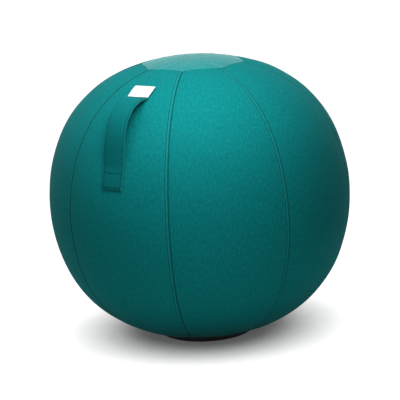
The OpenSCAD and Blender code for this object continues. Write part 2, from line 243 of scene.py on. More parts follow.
# %% [markdown]
# ## Materials made of nodes
#
# Each finish is a small tree of nodes in front of a Principled shader. Cloth reads
# the cloth map, so its threads are millimetres wide and follow the piece. Moulded
# and metal pieces read Object coordinates, in metres.

# %% Material helpers
def linear(colour):
    """A colour written as 0 to 255 screen values, as the linear light a shader needs."""
    c = np.array(colour, float) / 255
    light = np.where(c <= 0.04045, c / 12.92, ((c + 0.055) / 1.055) ** 2.4)
    return (*light.tolist(), 1.0)


def add_node(tree, kind, *links, **settings):
    """Adds a node to a tree. links are (input, value or output socket) pairs."""
    made = tree.nodes.new(kind)
    for key, value in settings.items():
        setattr(made, key, value)
    for socket, value in links:
        if isinstance(value, bpy.types.NodeSocket):
            tree.links.new(value, made.inputs[socket])
        else:
            made.inputs[socket].default_value = value
    return made


class Finish:
    """A material under construction: its node tree, and short ways to add to it."""

    def __init__(self, name, roughness, **fixed):
        self.material = bpy.data.materials.new(name)
        self.material.use_nodes = True
        self.tree = self.material.node_tree
        self.shader = self.tree.nodes["Principled BSDF"]
        self.shader.inputs["Roughness"].default_value = roughness
        for key, value in fixed.items():
            self.shader.inputs[key.replace("_", " ")].default_value = value

    def node(self, kind, *links, **settings):
        return add_node(self.tree, kind, *links, **settings)

    def cloth_map(self, across=1.0, along=1.0):
        """The cloth map, stretched by a factor each way."""
        uv = self.node("ShaderNodeUVMap", uv_map="cloth")
        return self.node("ShaderNodeMapping", ("Vector", uv.outputs[0]),
                         ("Scale", (across, along, 1))).outputs[0]

    def object_map(self, scale=1.0):
        """Object coordinates in metres, times a factor."""
        place_of = self.node("ShaderNodeTexCoord").outputs["Object"]
        return self.node("ShaderNodeMapping", ("Vector", place_of),
                         ("Scale", (scale, scale, scale))).outputs[0]

    def noise(self, vector, scale, detail=3.0, roughness=0.5):
        return self.node("ShaderNodeTexNoise", ("Vector", vector), ("Scale", scale),
                         ("Detail", detail), ("Roughness", roughness)).outputs["Fac"]

    def wave(self, vector, scale, direction, distortion=0.0):
        return self.node("ShaderNodeTexWave", ("Vector", vector), ("Scale", scale),
                         ("Distortion", distortion), ("Detail", 1.0), ("Detail Scale", 2.0),
                         bands_direction=direction).outputs["Fac"]

    def math(self, operation, a, b=0.0, c=0.0):
        return self.node("ShaderNodeMath", (0, a), (1, b), (2, c),
                         operation=operation).outputs[0]

    def stretch(self, value, low=0.3, high=0.7, to_low=0.0, to_high=1.0):
        """Maps low..high to to_low..to_high, and stops at both ends. Noise mostly stays
        between the low and high given by default."""
        return self.node("ShaderNodeMapRange", ("Value", value), ("From Min", low),
                         ("From Max", high), ("To Min", to_low), ("To Max", to_high)).outputs[0]

    def blend(self, amount, first, second):
        """Mixes two colours, written as screen values or given as sockets."""
        made = self.node("ShaderNodeMix", ("Factor", amount), data_type="RGBA")
        colours = [s for s in made.inputs if s.type == "RGBA"]
        for socket, colour in zip(colours, (first, second)):
            if isinstance(colour, bpy.types.NodeSocket):
                self.tree.links.new(colour, socket)
            else:
                socket.default_value = linear(colour)
        return [s for s in made.outputs if s.type == "RGBA"][0]

    def attribute(self, name):
        return self.node("ShaderNodeAttribute", attribute_name=name).outputs["Fac"]

    def colour(self, socket):
        self.tree.links.new(socket, self.shader.inputs["Base Color"])

    def roughness(self, socket):
        self.tree.links.new(socket, self.shader.inputs["Roughness"])

    def bump(self, *layers):
        """Stacks bump layers, each (height socket, depth in metres, strength)."""
        normal = None
        for height, depth, strength in layers:
            links = [("Height", height), ("Distance", depth), ("Strength", strength)]
            if normal is not None:
                links.append(("Normal", normal))
            normal = self.node("ShaderNodeBump", *links).outputs[0]
        self.tree.links.new(normal, self.shader.inputs["Normal"])
        return self.material


def wear(piece, material):
    """The piece wears one material."""
    piece.data.materials.clear()
    piece.data.materials.append(material)
    return piece


print("finish helpers ready")

# %% [markdown]
# ## The cover's cloth
#
# The cover is a dense, felt-like melange: yarns of slightly different petrol tones,
# with a short nap. Three things make it: small mottles of colour a few millimetres
# wide and longer along the gore than across, a fine plain weave in the bump, and a
# faint sheen for the nap, which lifts the tone where the cloth turns away. The cap's
# cloth has a fuller nap, and its colours are painted lighter as a painted sheen. Two
# marks on the mesh do the rest: painted shade darkens the cloth in the seams and along
# rows of stitches, and a painted highlight makes it a little paler on raised edges.

# %% Cover cloth
COVER_DARK = (0, 80, 83)
COVER_MID = (3, 120, 122)
COVER_LIGHT = (20, 150, 149)
# Painted sheen: the cap's colours are lighter than the cover's, for the whitening that light
# from above gives its nap.
CAP_DARK = (16, 98, 100)
CAP_MID = (22, 134, 136)
CAP_LIGHT = (40, 164, 162)
# Painted highlight: raised edges are this much paler. Painted shade: seams darken to this share
# of the dark tone.
EDGE_HIGHLIGHT_PALER = 34
SEAM_SHADE = 0.33
YARN = 0.42


def cloth_finish(name, dark, mid, light, sheen=0.05, edge_highlight_by=0.12):
    """Melange cloth: two sizes of mottles between three tones, and a plain weave, with
    painted shade along seams and a painted highlight on raised edges. sheen is the nap's
    weight."""
    cloth = Finish(name, 0.85, Sheen_Weight=sheen, Sheen_Roughness=0.35)
    cloth.shader.inputs["Sheen Tint"].default_value = linear((215, 245, 243))
    cloth.shader.inputs["Specular IOR Level"].default_value = 0.04
    mottle = cloth.noise(cloth.cloth_map(0.26, 0.11), 1.0, 4.0, 0.6)
    fibre = cloth.noise(cloth.cloth_map(1.1, 0.35), 1.0, 3.0, 0.6)
    tone = cloth.blend(cloth.stretch(mottle), dark, light)
    yarn = cloth.blend(cloth.stretch(fibre), dark, light)
    soft = cloth.blend(0.5, tone, yarn)
    plain = cloth.blend(0.65, mid, soft)
    # Painted highlight on raised edges, then painted shade in seams and along stitches.
    edge_lit = cloth.blend(cloth.math("MULTIPLY", cloth.attribute("edge"), edge_highlight_by), plain,
                       [c + EDGE_HIGHLIGHT_PALER for c in light])
    deep = cloth.stretch(cloth.attribute("seam"), 0.04, 0.55)
    cloth.colour(cloth.blend(deep, edge_lit, [c * SEAM_SHADE for c in dark]))
    across = cloth.wave(cloth.cloth_map(), YARN, "X", 0.4)
    along = cloth.wave(cloth.cloth_map(), YARN, "Y", 0.4)
    weave = cloth.math("ADD", across, along)
    return cloth.bump((mottle, 0.0004, 0.5), (fibre, 0.0002, 0.6), (weave, 0.00008, 0.5))


cover_cloth = cloth_finish("cover_cloth", COVER_DARK, COVER_MID, COVER_LIGHT)
# The cap's cloth: lighter colours as a painted sheen, and a sheen weight of 0.9 for its fuller
# nap.
cap_cloth = cloth_finish("cap_cloth", CAP_DARK, CAP_MID, CAP_LIGHT, 0.9)
print("made", cover_cloth.name, cap_cloth.name)

# %% [markdown]
# ## A gore
#
# A gore is a flat cut of cloth that is widest in its middle. Sewn to its neighbours
# it becomes a slice of the ball. Its edges are folded in: on its left edge, seen from
# outside, the cloth just turns down into the seam. Along its right edge the
# allowances of both gores lie under it and a row of stitches holds them, so a band
# six millimetres wide stands up between the seam and the stitches. Cloth simulation
# could inflate the flat cuts, but then nothing would fit the hard model. Here the
# grid's columns keep a fixed distance from the two seams, and a height over the
# ball is given for each distance.

# %% The fold at the edges
FOLD_R = 1.3 * MM
SEAM_SLIT = 0.03 * MM
BAND_W = 6.0 * MM
BAND_UP = 0.55 * MM
WALL_DOWN = 1.4 * MM
COVER_T = 1.2 * MM
GORES = 8
GORE_HALF = math.pi / GORES
CAP_R = 110 * MM
CAP_IN = CAP_R * math.cos(GORE_HALF)
SEAM_DEEP = 1.5 * MM
# Painted shade: how dark the seam's ditch and the row of stitches are, and how wide.
DITCH_DARK, DITCH_W = 0.33, 1.6 * MM
STITCH_DARK, STITCH_W = 0.36, 0.7 * MM


def fold_section(lift):
    """Distances from a seam and heights of the turned edge: straight up a short wall,
    then a quarter circle over to the height lift."""
    bend = np.linspace(0, math.pi / 2, 5)
    d = SEAM_SLIT + FOLD_R * (1 - np.cos(bend))
    h = lift - FOLD_R * (1 - np.sin(bend))
    return np.concatenate([[SEAM_SLIT], d]), np.concatenate([[lift - FOLD_R - WALL_DOWN], h])


def band_section():
    """The edge with the stitched band: the fold, the raised band, the groove that the
    stitches pull in, and the run down to the plain cloth."""
    d, h = fold_section(BAND_UP)
    more = np.array([(2.6, 0.66), (3.8, 0.64), (4.8, 0.52), (5.5, 0.2), (6.0, -0.12),
                     (6.5, 0.02), (7.2, 0.18), (8.4, 0.12), (10.5, 0.04), (14, 0.0)]) * MM
    return np.concatenate([d, more[:, 0]]), np.concatenate([h, more[:, 1]])


def plain_section():
    """The edge that only turns down into the seam."""
    d, h = fold_section(0.0)
    more = np.array([(2.6, -0.02), (4.5, 0.0), (7.5, 0.0), (14, 0.0)]) * MM
    return np.concatenate([d, more[:, 0]]), np.concatenate([h, more[:, 1]])


def bell(distance, width=0.55 * MM):
    """1 at distance 0 and less on both sides: exp(-(distance / width) ** 2)."""
    return np.exp(-((distance / width) ** 2))


def ditch(d, stitched=0.0):
    """Painted shade that the seam's ditch gets at each distance from it: a bell at the
    seam and, on the stitched side, a narrower one along the stitches."""
    return DITCH_DARK * bell(d, DITCH_W) + stitched * bell(d - BAND_W, STITCH_W)


print("edge columns:", len(band_section()[0]), "and", len(plain_section()[0]))

# %% [markdown]
# ### Tension in the cloth
#
# Sewn cloth is never perfectly even. The seams pull it in a little, the stitches
# gather it into small puckers, and more puckers run down from the cap's seam and up
# from the base. These are waves a tenth or two of a millimetre high: enough for the
# light to find, too small for the outline.

# %% Puckers
PULL_IN = 0.9 * MM
PULL_W = 26 * MM
PUCKER_W = 6 * MM
FREE_W = 14 * MM


def ripple(s, seed, length):
    """A wavy line along s that never quite repeats: three sines whose lengths don't
    fit each other."""
    phase = 2 * math.pi * np.array([0.13, 0.47, 0.81]) * (seed + 1.7)
    waves = [np.sin(2 * math.pi * s / (length * k) + p)
             for k, p in zip((1.0, 1.62, 0.71), phase)]
    return (waves[0] + 0.6 * waves[1] + 0.5 * waves[2]) / 2.1


def gore_height(seed, d_band, d_plain, s, from_top, from_low, across):
    """Height that tension adds: less near the seams, puckers along them, and puckers
    across them below the cap and above the base."""
    pull = -PULL_IN * (bell(d_band, PULL_W) + bell(d_plain, PULL_W))
    stitched = 0.16 * MM * ripple(s, seed, 11 * MM) * bell(d_band - 8 * MM, PUCKER_W)
    plain = 0.12 * MM * ripple(s, seed + 3, 15 * MM) * bell(d_plain - 6 * MM, PUCKER_W)
    top = 0.22 * MM * ripple(across, seed + 5, 9 * MM) * np.exp(-from_top / (22 * MM))
    low = 0.22 * MM * ripple(across, seed + 8, 10 * MM) * np.exp(-from_low / (20 * MM))
    broad = 0.35 * MM * ripple(s + 0.6 * across, seed + 11, 120 * MM)
    free = np.clip(np.minimum(d_band, d_plain) / FREE_W, 0, 1)
    return pull + stitched + plain + (top + low) * free + broad * free


print("pucker test:", np.round(ripple(np.array([0, 0.01, 0.02]), 1, 0.011), 3))

# %% [markdown]
# ### The gore's grid
#
# Rows are lengths along the outline, columns are distances across. The upper end
# isn't a circle: the cap has eight straight sides, so each column ends where it
# meets the cap's side. The three gores at the back stop higher at the base, where
# the zip shows.

# %% Gores
ROWS = 200
MIDDLE_COLUMNS = 26
RIM_OUT = 122.25 * MM
ZIP_TOP = 134.2 * MM
ZIP_GORES = (4, 5, 6)
EDGE_ROWS = np.array([0, 2.6, 4.5, 7.5]) * MM


def gore_rows():
    """The rows next to an end: each one's distance from it, and the height that its
    fold has there."""
    d, h = fold_section(0.0)
    d = np.concatenate([d, EDGE_ROWS[1:]])
    h = np.concatenate([h, np.zeros(3)])
    return d, h


def gore_place(k):
    """Gore k's direction, and the length along the outline where it starts: it stops
    higher over the zip."""
    start = ZIP_TOP if k in ZIP_GORES else RIM_OUT
    return -math.pi / 2 + 2 * GORE_HALF * (k - 1), float(length_from_q(q_at(start)))


def gore_grid(k):
    """Points of gore k's outer face, its cloth map, and two marks: painted shade in the seam's
    ditch and along its stitches, and a painted highlight on the stitched band. Columns keep
    their distance to the seams, so a few rounds settle where each one meets the cap."""
    middle, low_s = gore_place(k)
    end_d, end_h = gore_rows()
    share = np.linspace(0, 1, ROWS)[:, None]
    left_d, left_h = plain_section()
    right_d, right_h = band_section()
    mix = np.linspace(0, 1, MIDDLE_COLUMNS + 2)[1:-1]
    columns = len(left_d) + len(mix) + len(right_d)
    turn = np.zeros((ROWS + 2 * len(end_d), columns))
    for _ in range(4):
        top_s = FULL_LEN - length_from_q(q_at(CAP_IN / np.cos(turn)))
        fixed_low = low_s + end_d[:, None]
        inner_low, inner_top = low_s + end_d[-1], top_s - end_d[-1]
        span = inner_low + (inner_top[len(end_d):-len(end_d)] - inner_low) * (
            (share * (ROWS - 1) + 1) / (ROWS + 1))
        s = np.vstack([np.broadcast_to(fixed_low, (len(end_d), columns)), span,
                       top_s[-len(end_d):] - end_d[::-1, None]])
        r = outline(q_from_length(s))[0]
        half = r * GORE_HALF
        x = np.concatenate([
            -half[:, :len(left_d)] + left_d,
            (-half + left_d[-1])[:, len(left_d):-len(right_d)] * (1 - mix)
            + (half - right_d[-1])[:, len(left_d):-len(right_d)] * mix,
            half[:, -len(right_d):] - right_d[::-1]], axis=1)
        turn = x / r
    edge = np.concatenate([left_h, np.zeros(len(mix)), right_h[::-1]])[None, :]
    end = np.concatenate([end_h, np.zeros(ROWS), end_h[::-1]])[:, None]
    relax = gore_height(k, half - x, half + x, s, top_s - s, s - low_s, x)
    height = np.maximum(edge + end, -FOLD_R - WALL_DOWN) + relax
    q = q_from_length(s)
    cloth = np.stack([x, s], -1) / MM + np.array([300.0 * k, 37.0 * k])
    # Painted shade in the ditch and along the stitches; the edge mark is a painted highlight on
    # the raised band.
    shade = np.concatenate([ditch(left_d), np.zeros(len(mix)),
                            ditch(right_d, STITCH_DARK)[::-1]])[None, :]
    seam = np.maximum(np.clip(-(edge + end) / SEAM_DEEP, 0, 1), shade)
    marks = {"seam": np.broadcast_to(seam, s.shape),
             "edge": np.broadcast_to(np.clip(edge / BAND_UP, 0, 1), s.shape)}
    return on_ball(middle + turn, q, height), cloth, marks, s, half


for k in range(1, GORES + 1):
    top, cloth, marks, s, half = gore_grid(k)
    piece = sheet_piece(f"cover_gore_{k}", top, COVER_T, cloth, marks=marks)
    place(piece, "ball", "cover_fabric", f"gore_{k}")
    wear(piece, cover_cloth)

# %% [markdown]
# ## The top cap
#
# Eight points meeting at the crown would make a hard knot, so an eight-sided cap
# covers them, with its corners on the seams. Its grid runs from the edge to the
# middle, where all columns meet in one point. A disc from Blender's own menu would
# have a round edge, so the edge's distance is worked out from the angle instead.

# %% Cap
CAP_COLUMNS = 256
CAP_ROWS = 44


def octagon(turn):
    """Distance of the cap's edge from the axis: the distance of its sides over the
    cosine of the angle from the middle of the nearest side."""
    step = 2 * GORE_HALF
    return CAP_IN / np.cos(np.mod(turn + GORE_HALF, step) - GORE_HALF)


def cap_grid():
    """The cap's outer face: rows from its folded edge to the crown."""
    turn = GORE_HALF + np.linspace(0, 2 * math.pi, CAP_COLUMNS, endpoint=False)[None, :]
    edge_s = FULL_LEN - length_from_q(q_at(octagon(turn)))
    d, h = gore_rows()
    share = np.linspace(0, 1, CAP_ROWS + 1)[1:, None]
    s = np.vstack([edge_s + d[:, None],
                   (edge_s + d[-1]) * (1 - share) + FULL_LEN * share])
    edge = np.concatenate([h, np.zeros(CAP_ROWS)])[:, None]
    pull = -0.5 * MM * bell(s - edge_s, 16 * MM)
    pucker = 0.16 * MM * ripple(turn * 105 * MM, 21, 12 * MM) * np.exp(-(s - edge_s) / (9 * MM))
    calm = np.clip((FULL_LEN - s) / (60 * MM), 0, 1)
    broad = 0.3 * MM * ripple(s + 0.1 * np.cos(3 * turn), 30, 90 * MM) * calm
    top = on_ball(turn, q_from_length(s), edge + pull + pucker * calm + broad)
    # Painted shade where the cap's edge turns down into the seam.
    seam = np.clip(-edge / SEAM_DEEP, 0, 1)
    return top, np.broadcast_to(seam, s.shape)


def wrapped_normals(grid, pole):
    """Normals of a grid that closes round, with the last row at a pole."""
    padded = np.concatenate([grid[:, -1:], grid, grid[:, :1]], axis=1)
    normal = grid_normals(padded)[:, 1:-1]
    normal[-1] = pole
    return normal


top, seam = cap_grid()
low = top - wrapped_normals(top, (0, 0, 1)) * COVER_T
top_cap = sheet_piece("cover_top_cap", top, COVER_T, top[..., :2] / MM, low, wrap=True,
                      poles=(False, True), marks={"seam": seam})
place(top_cap, "ball", "cover_fabric", "top_cap")
wear(top_cap, cap_cloth)
print("cap faces:", len(top_cap.data.polygons))

# %% [markdown]
# ## Stitches
#
# A row of stitches is one small form, repeated: a bean of thread that comes up
# through the cloth, lies along it and goes down again. All beans of a row are worked
# out at once and become one mesh, each with only two dozen faces. An array modifier
# along a curve would also work, but it couldn't follow the puckers.

# %% Thread beans
BEAN_SIDES = 6
BEAN_AT = np.array([-0.36, 0.0, 0.36])
BEAN_R = np.array([0.85, 1.0, 0.85])


def bean_shape():
    """One bean along X, one unit long and with a radius of one unit: points with the
    length in X, and the faces: three rings and a point at each end."""
    a = np.linspace(0, 2 * math.pi, BEAN_SIDES, endpoint=False)
    rings = np.stack(np.broadcast_arrays(BEAN_AT[:, None], BEAN_R[:, None] * np.cos(a),
                                         BEAN_R[:, None] * np.sin(a)), -1).reshape(-1, 3)
    points = np.vstack([rings, [[-0.5, 0, 0], [0.5, 0, 0]]])
    ring = np.arange(3 * BEAN_SIDES).reshape(3, BEAN_SIDES)
    ring = np.hstack([ring, ring[:, :1]])
    sides = cell_corners(ring)[:, ::-1]
    low = np.stack([ring[0, :-1], ring[0, 1:], np.full(BEAN_SIDES, len(points) - 2)], -1)
    high = np.stack([ring[2, 1:], ring[2, :-1], np.full(BEAN_SIDES, len(points) - 1)], -1)
    return points, sides, np.vstack([low, high])[:, ::-1]


BEAN, BEAN_QUADS, BEAN_TRIANGLES = bean_shape()


def stitch_row(name, path, normals, body, slot, finish, radius=0.34 * MM, share=0.82):
    """Beans between the points of a path, one for each step: each is share of its
    step long, and its ends dip into the cloth by the square of their distance from
    the middle."""
    middle = (path[1:] + path[:-1]) / 2
    step = path[1:] - path[:-1]
    length = np.linalg.norm(step, axis=-1)
    along = step / length[:, None]
    up = (normals[1:] + normals[:-1]) / 2
    up -= along * np.sum(up * along, -1, keepdims=True)
    up /= np.linalg.norm(up, axis=-1, keepdims=True)
    aside = np.cross(up, along)
    dip = -1.5 * radius * (2 * BEAN[:, 0]) ** 2
    points = (middle[:, None] + along[:, None] * (BEAN[:, 0] * share)[None, :, None]
              * length[:, None, None]
              + aside[:, None] * (BEAN[:, 1] * radius)[None, :, None]
              + up[:, None] * (BEAN[:, 2] * radius + dip)[None, :, None])
    first = (np.arange(len(middle)) * len(BEAN))[:, None, None]
    faces = (BEAN_QUADS + first).reshape(-1, 4).tolist()
    faces += (BEAN_TRIANGLES + first).reshape(-1, 3).tolist()
    row = finish_mesh(name, points, faces, merge=False, sharp=80)
    place(row, body, slot)
    return wear(row, finish)


def ball_normal(turn, q):
    """Direction away from the ball at a turn about the axis and a direction q."""
    return np.stack(np.broadcast_arrays(np.sin(q) * np.cos(turn), np.sin(q) * np.sin(turn),
                                        -np.cos(q)), -1)


def thread_finish(name, colour, roughness=0.55):
    """Twisted polyester thread: plain tone, hardly a gloss, and a fine slanting bump."""
    thread = Finish(name, roughness)
    thread.shader.inputs["Specular IOR Level"].default_value = 0.08
    place_of = thread.object_map(1000)
    twist = thread.wave(place_of, 1.1, "DIAGONAL", 1.0)
    tone = thread.blend(thread.noise(place_of, 0.8), colour, [c * 0.72 for c in colour])
    thread.colour(tone)
    return thread.bump((twist, 0.00008, 0.6))


cover_thread = thread_finish("cover_thread", (1, 42, 46))
GORE_PITCH = 3.6 * MM
for k in range(1, GORES + 1):
    middle, low_s = gore_place(k)
    top_s = FULL_LEN - float(length_from_q(q_at(octagon(GORE_HALF * 0.93))))
    count = int((top_s - low_s - 4 * MM) / GORE_PITCH)
    s = np.linspace(low_s + 3 * MM, top_s - 1.5 * MM, count)
    q = q_from_length(s)
    r = outline(q)[0]
    x = r * GORE_HALF - BAND_W
    height = gore_height(k, BAND_W, r * GORE_HALF + x, s, top_s - s, s - low_s, x)
    path = on_ball(middle + x / r, q, height + 0.16 * MM)
    stitch_row(f"topstitch_{k}", path, ball_normal(middle + x / r, q), "ball", "cover_fabric",
               cover_thread)
print("stitches in a row:", count - 1)

# %% [markdown]
# ## The handle
#
# The handle is a strap of two strips of the cover's cloth with a webbing between
# them, flat on the ball at both sewn ends and free in the middle, so a hand fits
# under it. It could be a plane with a curve modifier. Here each layer is a grid
# again: across the strap, along the outline, with the height of the bow added. Near
# its edges, where the webbing stops, the two strips lie on each other and a row of
# stitches presses them together, so the middle stands up like a thin cushion.

# %% The strap's form
STRAP_START, PATCH_LEN, FREE_LEN = 80.5, 32, 171
HANDLE_S = FULL_LEN / 2 + np.cumsum([STRAP_START, PATCH_LEN, FREE_LEN, PATCH_LEN]) * MM
HANDLE_Q = q_from_length(HANDLE_S)
RISE = 25 * MM
RISE_LOW, RISE_HIGH = 1.8, 1.1
STRAP_HALF = 24 * MM
STITCH_X = 20.8 * MM
END_STITCH = 3.4 * MM
FACE_LOW, FACE_HIGH = 3.15 * MM, 4.0 * MM
BACK_TOP = 1.45 * MM
CORE_HALF, CORE_TOP, CORE_T = 19.4 * MM, 2.6 * MM, 0.95 * MM
CORE_INSET = 4.5 * MM


def bow(q):
    """Height of the free part: t^1.8 (1-t)^1.1 over its highest value, where t runs
    from the lower to the upper sewn end. It leaves the lower end softly and comes down
    steeply at the upper one."""
    t = np.clip((q - HANDLE_Q[1]) / (HANDLE_Q[2] - HANDLE_Q[1]), 0, 1)
    peak = RISE_LOW / (RISE_LOW + RISE_HIGH)
    return RISE * (t / peak) ** RISE_LOW * ((1 - t) / (1 - peak)) ** RISE_HIGH


def on_strap(x, q, height):
    """Point of the strap: x across it, at direction q, at a height over the ball plus
    the bow. The strap faces -Y, so y follows from the distance to the axis."""
    r, z = outline(q, bow(q) + height)
    x, r, z = np.broadcast_arrays(x, r, z)
    return np.stack([x, -np.sqrt(r * r - x * x), z], -1)


def smooth_step(t):
    """0 below 0, 1 above 1, and 3t^2 - 2t^3 between."""
    t = np.clip(t, 0, 1)
    return t * t * (3 - 2 * t)


def face_height(x, s):
    """Height of the strap's outer face: high over the webbing, low in the margin, and
    dented along every row of stitches."""
    from_end = np.minimum(s - HANDLE_S[0], HANDLE_S[3] - s)
    inside = np.minimum(STITCH_X - np.abs(x), from_end - END_STITCH)
    puff = smooth_step(inside / (1.6 * MM))
    crown = 0.25 * MM * (1 - (x / STRAP_HALF) ** 2) * puff
    cross = bell(s - HANDLE_S[1]) + bell(s - HANDLE_S[2])
    sides = bell(np.abs(x) - STITCH_X)
    ends = bell(from_end - END_STITCH)
    wave = 0.12 * MM * ripple(s, 41, 23 * MM) + 0.08 * MM * ripple(x + 0.3 * s, 43, 31 * MM)
    height = FACE_LOW + (FACE_HIGH - FACE_LOW) * puff + crown + wave
    height -= np.maximum(0.5 * MM * np.maximum(sides, ends), 0.9 * MM * cross)
    edge = np.minimum(STRAP_HALF - np.abs(x), from_end)
    rounding = np.clip(1 - edge / (0.8 * MM), 0, 1)
    return height - 0.55 * MM * (1 - np.sqrt(1 - rounding ** 2 * 0.96))


def strap_lengths(first, last, fine):
    """Lengths along a strap: every 2 mm, and every 0.4 mm for 2.5 mm around the places
    in fine."""
    near = np.arange(-2.5, 2.51, 0.4) * MM
    all_s = np.concatenate([np.linspace(first, last, int((last - first) / (2 * MM))),
                            *[place_s + near for place_s in fine], [first, last]])
    all_s = np.unique(np.round(np.clip(all_s, first, last), 7))
    keep = np.concatenate([[True], np.diff(all_s) > 0.15 * MM])
    keep[-1] = True
    return all_s[keep][:, None]


def strap_columns(half):
    """Distances across a strap, closer together near the stitches and the edges."""
    side = np.array([24, 23.85, 23.6, 23.2, 22.4, 21.9, 21.5, 21.2, 20.8, 20.4, 20.1, 19.7,
                     19.2, 18.4]) * MM
    side = side * half / STRAP_HALF
    middle = np.linspace(-side[-1], side[-1], 15)[1:-1]
    return np.concatenate([-side, middle, side[::-1]])[None, :]


def back_height(x, s):
    """Height of the strap's inner strip: a little higher outside the stitches."""
    return BACK_TOP + 0.25 * MM * (1 - smooth_step((STITCH_X - np.abs(x)) / MM)) + 0 * s


def strap_sheet(name, half, q0, q1, height, thickness, fine, finish, slot, node, marks=False):
    """A layer of the strap as a sheet, with its cloth map in millimetres."""
    s = strap_lengths(float(length_from_q(q0)), float(length_from_q(q1)), fine)
    x = strap_columns(half)
    x, s = np.broadcast_arrays(x, s)
    top = on_strap(x, q_from_length(s), height(x, s))
    # With marks: painted shade along the rows of stitches, and a painted highlight near the
    # strap's edges.
    rows = np.max([bell(np.abs(x) - STITCH_X, 0.6 * MM), bell(s - HANDLE_S[1]),
                   bell(s - HANDLE_S[2])], axis=0)
    layer = {"edge": smooth_step(1 - (half - np.abs(x)) / (0.9 * MM)),
             "seam": STITCH_DARK * rows} if marks else None
    piece = sheet_piece(name, top, thickness, np.stack([x, s], -1) / MM, marks=layer)
    place(piece, "ball", slot, node)
    return wear(piece, finish)


HANDLE_DARK = (1, 92, 94)
HANDLE_MID = (3, 106, 108)
HANDLE_LIGHT = (12, 122, 122)
# The strap's edges get a stronger painted highlight than the gores' bands.
handle_cloth = cloth_finish("handle_cloth", HANDLE_DARK, HANDLE_MID, HANDLE_LIGHT, 0.05, 0.4)
webbing = Finish("handle_webbing", 0.8)
ribs = webbing.wave(webbing.cloth_map(), 0.35, "X", 0.2)
picks = webbing.wave(webbing.cloth_map(), 0.2, "Y", 0.2)
webbing.colour(webbing.blend(ribs, (24, 30, 32), (48, 56, 58)))
webbing.bump((webbing.math("MULTIPLY", ribs, picks), 0.0003, 0.7))

fine_places = [HANDLE_S[0] + END_STITCH, HANDLE_S[1], HANDLE_S[2], HANDLE_S[3] - END_STITCH,
               HANDLE_S[0], HANDLE_S[3]]
face = strap_sheet("handle_outer", STRAP_HALF, HANDLE_Q[0], HANDLE_Q[3], face_height, COVER_T,
                   fine_places, handle_cloth, "handle_fabric", "handle_face", marks=True)
back = strap_sheet("handle_inner", STRAP_HALF, HANDLE_Q[0], HANDLE_Q[3],
                   back_height, COVER_T, [], handle_cloth, "handle_fabric", "handle_back",
                   marks=True)
inset_q = CORE_INSET / SHOULDER_R
core = strap_sheet("handle_web", CORE_HALF, HANDLE_Q[0] + inset_q, HANDLE_Q[3] - inset_q,
                   lambda x, s: CORE_TOP + 0 * x, CORE_T, [], webbing.material, "webbing",
                   "handle_core")
strap_cut = float(HANDLE_S[3] - HANDLE_S[0])
print("strap cut:", round(strap_cut, 4), "m, faces", len(face.data.polygons))

# %% [markdown]
# ### The handle's stitches
#
# Two rows run along the strap's edges, one across its lower end, and one across it
# where the sewn part stops, which takes the pull of the hand. Each row asks the same
# height function as the cloth, so the thread lies in its groove.

# %% Handle stitches
handle_thread = thread_finish("handle_thread", (1, 40, 44))
PITCH = 3.0 * MM


def strap_row(name, x, s, lift=0.12 * MM):
    """Stitches on the strap's outer face along the points (x, s)."""
    q = q_from_length(s)
    path = on_strap(x, q, face_height(x, s) + lift)
    ahead = on_strap(x, q + 1e-4, face_height(x, s) + lift)
    aside = on_strap(x + 1e-5, q, face_height(x, s) + lift)
    normal = np.cross(aside - path, ahead - path)
    normal /= np.linalg.norm(normal, axis=-1, keepdims=True)
    return stitch_row(name, path, normal, "ball", "handle_fabric", handle_thread, 0.3 * MM)


count = int(strap_cut / PITCH)
run = np.linspace(HANDLE_S[0] + END_STITCH, HANDLE_S[3] - END_STITCH, count)
for side, word in ((-1, "left"), (1, "right")):
    strap_row(f"handle_stitch_{word}", side * STITCH_X + 0 * run, run)
across = np.linspace(-STITCH_X, STITCH_X, 15)
for word, s_row in (("end", HANDLE_S[0] + END_STITCH), ("low", HANDLE_S[1])):
    strap_row(f"handle_stitch_{word}", across, s_row + 0 * across)
print("stitches along the handle:", count - 1)

# %% [markdown]
# ## The label
#
# A woven label is sewn over the handle's upper end. It is left blank: a plain white
# satin ribbon with its ends turned under. It droops a little over the strap's edges,
# as a soft ribbon does.

# %% Label
LABEL_HALF = 25 * MM
LABEL_T = 0.6 * MM
LABEL_TOP = 4.95 * MM
HEM = 2 * MM
LABEL_Q = HANDLE_Q[2] + np.array([0.3, 33]) * MM / SHOULDER_R
LABEL_S = length_from_q(LABEL_Q)


def label_height(x, s):
    """Height of the label's face: flat over the strap, lower beyond its stitches, with
    a shallow dent along its own hem."""
    droop = 0.7 * MM * smooth_step((np.abs(x) - 20 * MM) / (5 * MM))
    hem = np.minimum(LABEL_HALF - np.abs(x), np.minimum(s - LABEL_S[0], LABEL_S[1] - s))
    dent = 0.12 * MM * bell(hem - HEM)
    return LABEL_TOP - droop - dent + 0.1 * MM * ripple(x, 51, 19 * MM)


